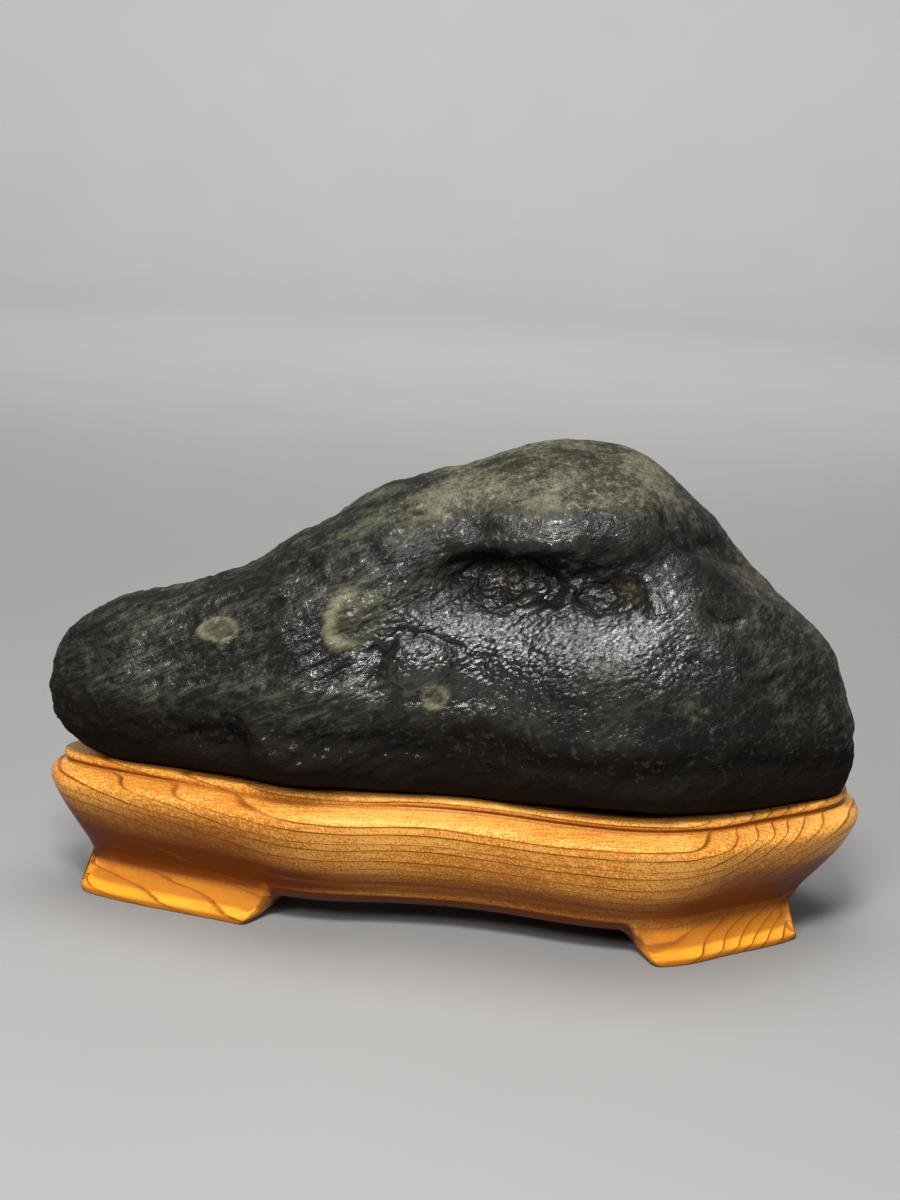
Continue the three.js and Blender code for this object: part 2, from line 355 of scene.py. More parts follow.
# %% [markdown]
# ## Layers of wear
# Broad lumps and shallow knocks cover the whole stone. Ribs follow the layers of its nose, angular chunks
# fill the hollow of the eye, and small wrinkles and pits break up the gloss. Each could be a texture on a
# Displace modifier. Here each is a noise pattern times its mask, so the wear reads as one sum. The
# patterns of the layered stone are sampled in places turned by the lean of its layers.

# %% Layers of wear
LAYER_LEAN = math.radians(27)
lean_places = np.stack((
    smooth_places[:, 0] * math.cos(LAYER_LEAN) + smooth_places[:, 2] * math.sin(LAYER_LEAN),
    smooth_places[:, 1],
    smooth_places[:, 2] * math.cos(LAYER_LEAN) - smooth_places[:, 0] * math.sin(LAYER_LEAN)), axis=1)
lumps = sample(billows, smooth_places, 17 * MM)
knocks = sample(ridges, smooth_places + 0.3, 11 * MM)
crags = sample(chunks, lean_places + 0.9, np.array((15, 9, 6)) * MM)
shards = sample(chunks, lean_places + 1.7, np.array((7, 5, 3.6)) * MM)
ribs = sample(ridges, lean_places, np.array((30, 9, 4.6)) * MM)
wrinkles = sample(billows, lean_places + 0.7, np.array((4.6, 3.4, 2.8)) * MM)
pits = soft_step(0.42, 0.12, sample(dimples, smooth_places, 7.5 * MM))
pit_places = soft_step(0.05, 0.45, sample(billows, smooth_places + 0.5, 22 * MM))
worn_relief = MM * (
    0.8 * lumps
    + (0.30 + 0.50 * nose_side + 0.40 * underside) * (knocks - 0.9)
    + ragged * (2.4 * (crags - 0.5) + 1.0 * (shards - 0.5))
    + (0.07 + 0.62 * nose_side) * (ribs - 0.9)
    + (0.16 + 0.10 * waxed + 0.16 * nose_side) * wrinkles
    - (0.3 + 0.7 * ragged) * 0.9 * pits * pit_places
)
print("wear: from", round(worn_relief.min() / MM, 1), "to", round(worn_relief.max() / MM, 1), "mm")

# %% [markdown]
# ## Carving
# The stone still has to sit in its stand, which was fitted to the plain solid. So the relief fades out
# just above the lip of the stand. A Displace modifier could read the sum from a vertex group, but moving
# the points along their normals is one line.

# %% Carve the stone
SEAT_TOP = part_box("stand")[1][2]
RELIEF_STARTS = 1 * MM
RELIEF_FULL = 14 * MM
clear_of_seat = soft_step(SEAT_TOP + RELIEF_STARTS, SEAT_TOP + RELIEF_FULL, smooth_places[:, 2])
relief = (named_relief + worn_relief) * clear_of_seat
carved_places = smooth_places + smooth_normals * relief[:, None]
write_points(stone.data, carved_places)
print("stone carved:", len(stone.data.polygons), "faces")

# %% [markdown]
# ## Where the stone is hollow
# The finish darkens dents and creases as painted shade, and puts a little brown soil in the dents. A mesh
# can tell what is hollow from what stands out: each point is compared with the average of its neighbours,
# taken over a few rounds so that the average reaches further. The answer is stored on the points as an
# attribute, which the shader reads by name.

# %% Hollows as an attribute
def spread(values, ends, rounds):
    """Averages values on points with their neighbours, for a number of rounds."""
    count = len(values)
    neighbours = np.bincount(ends.ravel(), minlength=count)
    for step in range(rounds):
        total = np.empty_like(values)
        for axis in range(values.shape[1]):
            column = values[:, axis]
            total[:, axis] = (np.bincount(ends[:, 0], column[ends[:, 1]], count)
                              + np.bincount(ends[:, 1], column[ends[:, 0]], count))
        values = total / neighbours[:, None]
    return values


def hollowness(mesh, rounds):
    """How far each point lies under its surroundings, in metres. Points that stand out are negative."""
    places, normals = read_points(mesh)
    ends = np.empty(len(mesh.edges) * 2, dtype=np.int64)
    mesh.edges.foreach_get("vertices", ends)
    around = spread(places, ends.reshape(-1, 2), rounds)
    return np.sum((around - places) * normals, axis=1)


def store(mesh, name, values):
    """Keeps one number per point on the mesh."""
    layer = mesh.attributes.new(name, "FLOAT", "POINT")
    layer.data.foreach_set("value", values.astype(np.float32))


CREASE_ROUNDS = 3
DENT_ROUNDS = 24
crease = hollowness(stone.data, CREASE_ROUNDS) / MM
dent = hollowness(stone.data, DENT_ROUNDS) / MM
store(stone.data, "crease", crease)
store(stone.data, "dent", dent)
print("creases: from", round(crease.min(), 2), "to", round(crease.max(), 2), "mm")
print("deepest dent:", round(dent.max(), 2), "mm")

# %% [markdown]
# ## Where the stains are
# The crown has a matte olive crust, the nose has grey-green layers, and brown soil shows in the eye,
# along the crease of the shoulder and low on the belly. Three round stains mark the front. They are flat,
# so they are colour alone: a ring is drawn from the distance to its middle, with a noisy edge so that no
# outline is perfect. A painted picture could hold all this, but numbers on the points need no unwrapping
# and stay sharp from near by.

# %% Stains as attributes
OLIVE = (
    # middle x and z, half sizes, lean, strength
    ((34, 176), (40, 10), -4, 1.0),
    ((-6, 164), (30, 5), 22, 0.7),
    ((82, 158), (16, 6), -38, 0.15),
    ((-36, 143), (26, 7), 25, 0.15),
    ((84, 101), (14, 5), 4, 0.55),
)
BROWN = (
    ((15, 139), (8, 5), 0, 1.0),
    ((57.5, 138), (7, 6), 0, 0.9),
    ((100, 141), (24, 3), -30, 0.7),
    ((122, 104), (28, 34), 0, 0.48),
    ((-30, 76), (75, 9), 0, 0.35),
)
ROUND_STAINS = (
    # middle x and z, half sizes, lean, share and shift of the inside, strength of the rim, strength inside
    ((-88, 112.5), (7.7, 3.9), 10, 0.80, (0.3, 0.2), 0.62, 0.22),
    ((-39.5, 122), (11.6, 9.4), 42, 0.80, (2.7, 0.8), 0.60, 0.14),
    ((-9, 98.7), (5.0, 4.6), 0, 0.60, (0, 0), 0.72, 0.20),
)


def stain(patches):
    """The sum of soft patches, placed as they are seen from the front."""
    return sum(strength * dab(smooth_places, at, half_size, lean, 1.3)
               for at, half_size, lean, strength in patches)


def from_middle(at, half_size, lean):
    """The distance from the middle of an ellipse, which is 1 on its uneven border."""
    return np.sqrt(-np.log(dab(smooth_places, at, half_size, lean) + 1e-30)) + 0.08 * stain_noise


def round_stain(at, half_size, lean, inner_share, inner_shift, rim, fill):
    """A flat ring with a fainter inside."""
    inner_size = [half * inner_share for half in half_size]
    covered = soft_step(1.14, 0.86, from_middle(at, half_size, lean))
    inside = soft_step(1.10, 0.86, from_middle(np.add(at, inner_shift), inner_size, lean))
    return covered * (rim + (fill - rim) * inside) * front


stain_noise = sample(billows, smooth_places + 0.2, 6 * MM)
crown = soft_step(0.45, 0.9, smooth_normals[:, 2]) * soft_step(125 * MM, 150 * MM, smooth_places[:, 2])
crown_share = (0.45 - 0.38 * nose_side - 0.35 * shoulder_side) * crown
store(stone.data, "olive", np.clip(stain(OLIVE) + crown_share, 0, 1))
store(stone.data, "brown", np.clip(stain(BROWN), 0, 1))
store(stone.data, "ring", sum(round_stain(*mark) for mark in ROUND_STAINS))
store(stone.data, "layers", np.clip(0.20 + 0.65 * nose_side + right_side, 0, 1))
store(stone.data, "wax", waxed)
store(stone.data, "pebbled", pebbled)
# The eye mask also darkens the hollow of the eye as painted shade.
store(stone.data, "eye", ragged * front)
# The belly mask also darkens the belly as painted shade.
store(stone.data, "belly", underside)
print("stains:", len(OLIVE), "olive,", len(BROWN), "brown and", len(ROUND_STAINS), "round")

# %% [markdown]
# ## The stand's moulding
# The stand is one block of wood. A carver cuts its plan first, a long bent oval that follows the stone,
# and then runs the same moulding all round: a raised lip, a groove, a rounded ledge, a belly that leans
# in, and a foot that flares out again. So it is modelled as a sweep: one moulding, taken along one rim.
# Both repeat the values of the CAD solid in millimetres, and a smooth curve through them takes away its
# facets.

# %% Rim and moulding
RIM = (
    (-148, 4), (-145, -4), (-133, -11), (-116, -17.5), (-92, -25.5), (-64, -35), (-44, -37.5),
    (-18, -36.5), (2, -37.5), (20, -41), (40, -46.5), (60, -50), (78, -49.5), (96, -44), (114, -33),
    (138, -17.5), (148.5, -6), (151.5, 6), (149, 18), (140, 29), (118, 41), (88, 49), (50, 52), (10, 49),
    (-30, 43), (-65, 37), (-100, 30), (-128, 21), (-143, 13),
)
MOULDING = (
    # how far it stands out from the rim at the ends, along the sides, and its height
    (-7.6, 0.5, 0), (-7, 1, 1.4), (-7.2, 0.7, 2.9), (-9.6, -2, 4.7), (-12, -4.9, 7.4), (-13.2, -6.2, 11),
    (-13, -5.6, 14.5), (-10.6, -3.2, 19.5), (-5.2, 1, 27), (1, 5.2, 36.5), (4.4, 7.6, 43.8),
    (4.7, 7.9, 46.4), (4, 6.7, 48.3), (2.2, 3.8, 49.6), (-0.4, 0.2, 50.5), (-1.5, -1.4, 51.3),
    (-0.5, -0.5, 52.5), (0, 0, 53.7), (-0.5, -0.6, 54.8), (-2.4, -2.6, 55.3),
)
RIGHT_TUCK = 1.25
print("rim:", len(RIM), "points; moulding:", len(MOULDING), "points")

# %% [markdown]
# ## Curves through the points
# A knife leaves one flowing line, not a chain of short cuts. A Bezier curve could be laid through the
# points by hand. A spline that passes through each point, with its speed set by the gaps between them,
# does it in a few lines and does not swing out at the tight bends. The rim is then cut into equal steps,
# the stations of the sweep.

# %% Smooth curves
def smooth_line(points, closed, parts):
    """A smooth curve through points, with a number of parts between each pair."""
    points = np.asarray(points, dtype=float)
    count = len(points)
    if closed:
        wide = np.concatenate((points[-1:], points, points[:2]))
    else:
        wide = np.concatenate((2 * points[:1] - points[1:2], points, 2 * points[-1:] - points[-2:-1]))
    share = (np.arange(parts) / parts)[:, None]
    pieces = []
    for first in range(count if closed else count - 1):
        before, start, end, after = wide[first:first + 4]
        steps = (start - before, end - start, after - end)
        first_gap, gap, last_gap = [max(np.linalg.norm(step) ** 0.5, 1e-9) for step in steps]
        leave = steps[0] / first_gap - (end - before) / (first_gap + gap) + steps[1] / gap
        arrive = steps[1] / gap - (after - start) / (gap + last_gap) + steps[2] / last_gap
        leave, arrive = leave * gap, arrive * gap
        pieces.append(start + leave * share + (3 * (end - start) - 2 * leave - arrive) * share ** 2
                      + (2 * (start - end) + leave + arrive) * share ** 3)
    if not closed:
        pieces.append(points[-1:])
    return np.concatenate(pieces)


def even_steps(line, count):
    """The same line with its points at equal steps."""
    run = np.concatenate(((0,), np.cumsum(np.linalg.norm(np.diff(line, axis=0), axis=1))))
    steps = np.linspace(0, run[-1], count)
    return np.stack([np.interp(steps, run, line[:, axis]) for axis in range(line.shape[1])], axis=1)


STATIONS = 541
RIM_PARTS = 24
MOULDING_PARTS = 8
rim_line = smooth_line(RIM, True, RIM_PARTS)
rim_line = even_steps(np.concatenate((rim_line, rim_line[:1])), STATIONS)
rim_ahead = np.gradient(np.concatenate((rim_line[-3:-1], rim_line, rim_line[1:3])), axis=0)[2:-2]
rim_ahead /= np.linalg.norm(rim_ahead, axis=1)[:, None]
moulding_line = smooth_line(MOULDING, False, MOULDING_PARTS)
print("curves:", len(rim_line), "stations round the rim,", len(moulding_line), "points up the moulding")

# %% [markdown]
# ## Feet and arches
# Between its feet the block is cut away by an arch, long under the front and back and short under the two
# ends. The cut is soft: each foot rises into the arch in a flat S. Rather than cut the sweep with a
# solid, which leaves ragged edges, each station of the sweep is told how high its lower edge lies, and
# its moulding starts there.

# %% Height of the lower edge
UNDERSIDE = 9
WAIST = 11
GROOVE_HEIGHT = 51.3
GROOVE_SPAN = 1.3
GROOVE_FILL = 1.2
SHALLOW_MIDDLE = -62
SHALLOW_HALF = 45
LONG_ARCH = (-77, 80)
LONG_ARCH_CURVE = 15
LEFT_ARCH = (-2, 16)
RIGHT_ARCH = (-15, 27)
END_ARCH_CURVE = 4
EDGE_STEPS = 111


def arch(places, ends, curve):
    """The height of an arch along one direction: 0 outside its ends, up to the underside between them."""
    rise = soft_step(ends[0], ends[0] + curve, places) * soft_step(ends[1], ends[1] - curve, places)
    return UNDERSIDE * rise


def moulding_at(heights):
    """How far the moulding stands out at given heights, at the ends and along the sides."""
    return [np.interp(heights, moulding_line[:, 2], moulding_line[:, axis]) for axis in (0, 1)]


def swept(station, heights):
    """The moulding's points at given heights, at a station of the rim."""
    at_ends, at_sides = moulding_at(heights)
    x, y = rim_line[station]
    shallow = math.exp(-((x - SHALLOW_MIDDLE) / SHALLOW_HALF) ** 2) * (y < 0)
    at_sides = at_sides + shallow * GROOVE_FILL * np.exp(-((heights - GROOVE_HEIGHT) / GROOVE_SPAN) ** 2)
    ahead_x, ahead_y = rim_ahead[station]
    tuck = np.where((at_ends < 0) & (ahead_y > 0), RIGHT_TUCK, 1)
    return np.stack((x + ahead_y * at_ends * tuck, y - ahead_x * at_sides, heights), axis=1)


def lower_edge(station):
    """How high the moulding starts at a station: where it comes out of the arches."""
    heights = np.linspace(0, WAIST, EDGE_STEPS)
    x, y, z = swept(station, heights).T
    end_arch = RIGHT_ARCH if x[0] > 0 else LEFT_ARCH
    beyond = (x > LONG_ARCH[1]) | (x < LONG_ARCH[0])
    cut = np.maximum(arch(x, LONG_ARCH, LONG_ARCH_CURVE), arch(y, end_arch, END_ARCH_CURVE) * beyond)
    return heights[np.flatnonzero(heights < cut)[-1] + 1] if np.any(heights < cut) else 0.0


edge_heights = [lower_edge(station) for station in range(STATIONS)]
print("lower edge:", round(min(edge_heights), 2), "to", round(max(edge_heights), 2), "mm")

# %% [markdown]
# ## One station of the stand
# A carver checks a moulding with a template. The profile of a station is that template: a short wall
# inside the foot, the rounded lower edge, the moulding and the inside of the lip. Where the body starts
# at an arch it is rounded under, with an arc that runs on from its lean. A Bevel would do for the toes,
# but this rounding is about as wide as the arch is deep.

# %% Profiles
TOE_ROUND = 0.9
GAP_ROUND = 10
WALL_SHARE = 0.42
SPINE_SHRINK = 0.8
BODY_START = 21
BODY_ROWS = 58
FOOT_ROWS = 18
CURL_ROWS = 7
LEAN_START = 0.6
LEAN_SPAN = 2
LIP_INSIDE = 4
upper_heights = even_steps(moulding_line[moulding_line[:, 2] >= BODY_START], BODY_ROWS)[:, 2]
lower_shares = np.linspace(0, 1, FOOT_ROWS + 1)[:-1]


def station_profile(station):
    """All the points of one station, from the wall inside the foot to the inside of the lip."""
    edge = edge_heights[station]
    rounding = TOE_ROUND + (GAP_ROUND - TOE_ROUND) * edge / UNDERSIDE
    low, high = swept(station, edge + rounding * LEAN_START + np.array((0, LEAN_SPAN)))
    spine = np.array((low[0] * SPINE_SHRINK, 0, 0))
    inward = (spine - low) * (1, 1, 0)
    step_in = inward / np.linalg.norm(inward)
    lean = max(math.atan2((low - high) @ step_in, LEAN_SPAN), 0)
    start = edge + rounding * (1 - math.sin(lean))
    outside = start + lower_shares * (BODY_START - start)
    outer = swept(station, np.concatenate((outside, upper_heights)))
    middle = outer[0] + rounding * (step_in * math.cos(lean) + np.array((0, 0, math.sin(lean))))
    curl = [middle - rounding * (step_in * math.cos(turn) + np.array((0, 0, math.sin(turn))))
            for turn in np.linspace(math.pi / 2, lean, CURL_ROWS + 1)[:-1]]
    wall = outer[0] * (1, 1, 0) + (0, 0, edge) + inward * WALL_SHARE
    wall_top = wall * (1, 1, 0) + (0, 0, UNDERSIDE)
    lip_in = outer[-1] + step_in * LIP_INSIDE
    return np.vstack((wall_top, wall, curl, outer, lip_in))


profiles = np.array([station_profile(station) for station in range(STATIONS)]) * MM
profiles += np.array(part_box("stand")[0]) - profiles.min(axis=(0, 1))

print("profiles:", profiles.shape[0], "stations of", profiles.shape[1], "points")

# %% [markdown]
# ## The stand's body
# A grid is the natural start for a sweep: one direction of the grid runs round the rim, and the other
# climbs the moulding. Each of its points is moved to its place, the seam is merged, and the open
# underside and top are filled.

# %% Sweep the stand
shape = bmesh.new()
around, rows = profiles.shape[:2]
bmesh.ops.create_grid(shape, x_segments=around - 1, y_segments=rows - 1, size=0.5)
for point in shape.verts:
    station = round((point.co.x + 0.5) * (around - 1))
    row = round((point.co.y + 0.5) * (rows - 1))
    point.co = profiles[station, row]
bmesh.ops.remove_doubles(shape, verts=shape.verts, dist=0.01 * MM)
bmesh.ops.holes_fill(shape, edges=[edge for edge in shape.edges if edge.is_boundary])
bmesh.ops.recalc_face_normals(shape, faces=shape.faces)
stand = new_piece("carved_stand", shape)
print("stand swept:", len(stand.data.polygons), "faces")

# %% [markdown]
# ## The seat
# A carver tries the stone in its seat again and again, and pares away what touches. A Boolean modifier
# does the same with the plain stone, grown by a third of a millimetre. Two numbers are then kept on the
# points for the finish: how deep a point lies in a groove of the moulding, and how far it looks down.
# The finish darkens the wood at both as painted shade.

# %% Cut the seat
SEAT_GAP = 0.35
LOOKS_DOWN = (-0.36, -0.60)
seat_form = smooth_form("stone", "seat_form", 1)
form_places, form_normals = read_points(seat_form.data)
write_points(seat_form.data, form_places + form_normals * SEAT_GAP * MM)
seat_cut = stand.modifiers.new("seat", "BOOLEAN")
seat_cut.operation = "DIFFERENCE"
seat_cut.solver = "EXACT"
seat_cut.object = seat_form
keep_modifiers(stand)
bpy.data.objects.remove(seat_form)
# How deep each point lies in a groove, for painted shade on the wood.
store(stand.data, "dent", hollowness(stand.data, CREASE_ROUNDS) / MM)
stand_normals = read_points(stand.data)[1]
# How far each point looks down, for painted shade on the wood.
store(stand.data, "painted_shade", soft_step(*LOOKS_DOWN, stand_normals[:, 2]))
print("stand carved:", len(stand.data.polygons), "faces")

# %% [markdown]
# ## Smooth faces and sharp edges
# Both surfaces are round, so their faces are shaded as one. The stand also has true edges, round its seat
# and under its feet. A Bevel would round them, but they are crisp on the real one, so edges past an angle
# are marked sharp.

# %% Smooth shading
SHARP_EDGE = math.radians(38)
for piece in (stone, stand):
    piece.data.shade_smooth()
stand.data.set_sharp_from_angle(angle=SHARP_EDGE)
print("shaded smooth, with edges past", round(math.degrees(SHARP_EDGE)), "degrees kept sharp on the stand")

# %% [markdown]
# ## Writing shaders as sums
# A material in Blender is a graph of nodes. Long graphs are hard to read as code, so a small class stands
# for the output of a node: adding, subtracting, multiplying or dividing such outputs adds the Math node
# that does it. Every other node comes from one method, which takes the node's type, its settings and what
# goes into its sockets.

# %% A wire between nodes
class Wire:
    """A node's output, with Python's operators for Math nodes."""

    def __init__(self, socket):
        self.socket = socket
        self.tree = socket.id_data

    @staticmethod
    def make(tree, kind, settings, sockets, output=0):
        """Adds a node, sets its settings and then its sockets, and gives one of its outputs."""
        made = tree.nodes.new(kind)
        for name, value in settings.items():
            setattr(made, name, value)
        for name, value in sockets.items():
            if isinstance(value, Wire):
                tree.links.new(value.socket, made.inputs[name])
            else:
                made.inputs[name].default_value = value
        return Wire(made.outputs[output])

    def maths(self, operation, first, second):
        """Adds a Math node."""
        return Wire.make(self.tree, "ShaderNodeMath", {"operation": operation}, {0: first, 1: second})

    def __add__(self, other):
        return self.maths("ADD", self, other)

    def __sub__(self, other):
        return self.maths("SUBTRACT", self, other)

    def __rsub__(self, other):
        return self.maths("SUBTRACT", other, self)

    def __mul__(self, other):
        return self.maths("MULTIPLY", self, other)

    def __truediv__(self, other):
        return self.maths("DIVIDE", self, other)

    __radd__ = __add__
    __rmul__ = __mul__

    def ramp(self, start, end, low=0.0, high=1.0):
        """A smooth step from low at start to high at end."""
        return Wire.make(self.tree, "ShaderNodeMapRange", {"interpolation_type": "SMOOTHSTEP"},
                         {"Value": self, "From Min": start, "From Max": end, "To Min": low, "To Max": high})

    def fraction(self):
        """What is left after the whole number."""
        return self.maths("FRACT", self, 0)

# %% [markdown]
# ## Nodes that both finishes use
# Both finishes read the same few things: where a point is, a number that was stored on it, a noise
# pattern, and a blend of two colours. Node groups would name them in the node editor. In a script, short
# functions do.

# %% Node helpers
def new_material(name):
    """A material with one Principled shader, and its tree and shader."""
    material = bpy.data.materials.new(name)
    material.use_nodes = True
    tree = material.node_tree
    return material, tree, tree.nodes["Principled BSDF"]


def object_place(tree):
    """Where a point is on the piece, in metres."""
    return Wire.make(tree, "ShaderNodeTexCoord", {}, {}, "Object")


def part_of(tree, place, axis):
    """One coordinate of a place."""
    return Wire.make(tree, "ShaderNodeSeparateXYZ", {}, {"Vector": place}, axis)


def attribute(tree, name):
    """A number that was stored on the points."""
    return Wire.make(tree, "ShaderNodeAttribute", {"attribute_name": name}, {}, "Fac")


def stretch(tree, place, sizes, turn=(0, 0, 0)):
    """Place turned and divided by the sizes of a pattern, which may differ by axis."""
    turned = Wire.make(tree, "ShaderNodeMapping", {"vector_type": "POINT"},
                       {"Vector": place, "Rotation": turn})
    return Wire.make(tree, "ShaderNodeVectorMath", {"operation": "DIVIDE"}, {0: turned, 1: sizes})


def cloud(tree, place, size, detail=3.0):
    """Noise from 0 to 1, with features of a size. A stretched place has size 1."""
    return Wire.make(tree, "ShaderNodeTexNoise", {}, {"Vector": place, "Scale": 1 / size, "Detail": detail})


def blend(tree, share, first, second):
    """A colour between two colours."""
    return Wire.make(tree, "ShaderNodeMix", {"data_type": "RGBA"}, {0: share, 6: first, 7: second}, 2)


def plug(tree, shader, sockets):
    """Links or sets sockets of the shader."""
    for name, value in sockets.items():
        if isinstance(value, Wire):
            tree.links.new(value.socket, shader.inputs[name])
        else:
            shader.inputs[name].default_value = value

# %% [markdown]
# ## The stone's finish
# The stone is nearly black where wax has soaked in, slate grey where it is dry, olive on its crust and
# brown where soil stayed. Its dents, creases and the hollow of its eye are darkened towards charcoal, and
# its belly towards a near-black brown, as painted shade. So the colour is a stack of blends, each with a
# mask of its own. The gloss is patchy too: one shader with a rising roughness would put a grey veil over
# it, so a dry and a waxed shader are mixed instead, by a share that the same masks give. Fine grains and
# pebbles stay in the bump, because they are smaller than the mesh.

# %% Stone material
CHARCOAL = (0.0050, 0.0050, 0.0042, 1)
SLATE = (0.0145, 0.0140, 0.0112, 1)
LICHEN_GREY = (0.062, 0.061, 0.041, 1)
OLIVE_LIGHT = (0.103, 0.098, 0.064, 1)
OLIVE_DARK = (0.024, 0.0222, 0.0140, 1)
SOIL = (0.066, 0.047, 0.024, 1)
BELLY_BROWN_AND_SHADE = (0.0062, 0.0036, 0.0022, 1)
RING = (0.200, 0.185, 0.108, 1)
LAYER_SIZE = (0.022, 0.008, 0.0034)
STREAK_SIZE = (0.0060, 0.002, 0.0009)
PEBBLE_SIZE = (0.0027, 0.0021, 0.0017)
PATCH_SIZE = 0.024
GRAIN_SIZE = 0.0026
DUST_SIZE = 0.0008
STONE_BUMP = 0.0012


def stone_material():
    """Waxed dark stone with crust, soil and stains."""
    material, tree, shader = new_material("waxed_stone")
    place = object_place(tree)
    crease, dent, belly, eye = [attribute(tree, name) for name in ("crease", "dent", "belly", "eye")]
    layered = attribute(tree, "layers")
    height_up = part_of(tree, place, "Z")
    turn = (0, LAYER_LEAN, 0)
    layers = cloud(tree, stretch(tree, place, LAYER_SIZE, turn), 1.0, 4.0)
    streaks = cloud(tree, stretch(tree, place, STREAK_SIZE, turn), 1.0, 3.0)
    patches = cloud(tree, place, PATCH_SIZE, 5.0)
    grains = cloud(tree, place, GRAIN_SIZE, 4.0)
    dust = cloud(tree, place, DUST_SIZE, 2.0)
    pebbles = Wire.make(tree, "ShaderNodeTexVoronoi", {"feature": "F1"}, {
        "Vector": stretch(tree, place, PEBBLE_SIZE, turn), "Scale": 1.0})

    colour = blend(tree, (patches + (grains - 0.5) * 0.6).ramp(0.36, 0.68), CHARCOAL, SLATE)
    streaked = (layers * 0.55 + streaks * 0.45).ramp(0.46, 0.67) * patches.ramp(0.36, 0.56, 0.3, 1.0)
    colour = blend(tree, streaked * layered * 0.78, colour, LICHEN_GREY)
    crust = attribute(tree, "olive") + (patches - 0.5) * 1.9 + (layers - 0.5) * 0.6 + (grains - 0.5) * 0.6
    crust = crust.ramp(0.15, 1.15)
    mottle = (patches * 0.35 + layers * 0.10 + grains * 0.25 + dust * 0.30).ramp(0.41, 0.59)
    colour = blend(tree, crust * 0.9, colour, blend(tree, mottle, OLIVE_DARK, OLIVE_LIGHT))
    # Painted shade: dents are darkened towards charcoal.
    colour = blend(tree, dent.ramp(0.25, 1.4) * 0.7, colour, CHARCOAL)
    # Painted shade: the hollow of the eye is darkened towards charcoal.
    colour = blend(tree, eye * 0.7, colour, CHARCOAL)
    soil = attribute(tree, "brown") + dent * 0.15 + (grains - 0.5) * 0.9 + (dust - 0.5) * 0.6
    colour = blend(tree, soil.ramp(0.5, 1.25) * 0.75, colour, SOIL)
    ring = attribute(tree, "ring") * (grains * 0.5 + dust * 0.5).ramp(0.35, 0.6, 0.75, 1.0)
    colour = blend(tree, ring, colour, RING)
    # The belly is darkened to a near-black brown: partly the stone's own brown, partly painted shade under
    # its turn.
    colour = blend(tree, belly * 0.9, colour, BELLY_BROWN_AND_SHADE)
    # Painted shade: creases are darkened towards charcoal, less on the round stains.
    colour = blend(tree, crease.ramp(0.02, 0.16) * (0.75 - ring * 0.6), colour, CHARCOAL)

    height = 0.4 * grains + 0.22 * dust - 0.50 * pebbles * attribute(tree, "pebbled")
    height = height + layers * layered
    bump = Wire.make(tree, "ShaderNodeBump", {}, {
        "Height": height, "Strength": 1.0, "Distance": STONE_BUMP})
    wax = (attribute(tree, "wax") + (patches - 0.5) * 0.8).ramp(0.10, 0.75)
    glints = grains.ramp(0.56, 0.66)
    waxed_share = 0.15 + wax * 0.68 + glints * 0.60 - crust * 0.45 - belly * 0.25 - ring * 0.8 - eye * 0.32
    waxed_share = waxed_share - height_up.ramp(0.078, 0.062) * 0.6
    dry_roughness = 0.62 + (dust - 0.5) * 0.2 + height_up.ramp(0.085, 0.065) * 0.3
    wax_roughness = 0.23 + (dust - 0.5) * 0.2 - glints * 0.10
    dry = Wire.make(tree, "ShaderNodeBsdfPrincipled", {}, {
        "Base Color": colour, "Roughness": dry_roughness, "Normal": bump, "Specular IOR Level": 0.08})
    plug(tree, shader, {"Base Color": colour, "Roughness": wax_roughness, "Normal": bump, "IOR": 1.5,
                        "Specular IOR Level": 0.65})
    gloss = Wire(shader.outputs["BSDF"])
    finish = Wire.make(tree, "ShaderNodeMixShader", {}, {0: waxed_share, 1: dry, 2: gloss})
    tree.links.new(finish.socket, tree.nodes["Material Output"].inputs["Surface"])
    return material


stone.data.materials.clear()
stone.data.materials.append(stone_material())
print("stone material:", len(stone.data.materials[0].node_tree.nodes), "nodes")

# %% [markdown]
# ## The year rings of the wood
# Orange softwood shows its year rings as thin dark lines. In a straight tree they are cylinders around
# the pith, and the carver cut across them at a slant, which is why they run level along the front but
# bend into V shapes on the feet. Painting lines on the surface would miss that. The pattern is solid
# instead: the distance to the pith, measured in each point of the block, gives the ring, and the carving
# shows its own cut through it. This trunk swelled and leaned a little along its length, so the distance
# changes with it.

# %% Year rings
PITH = (0, 0, -68.8)
RING_STEP = 4.2 * MM
SWELL = 12 * MM
BEND = 18 * MM
TILT = 24 * MM
LEFT_TILT = 8 * MM
WAVE_SIZE = (0.11, 0.05, 0.05)
WAVE_REACH = (0, 0.008, 0.008)
SEASON_SIZE = 0.007


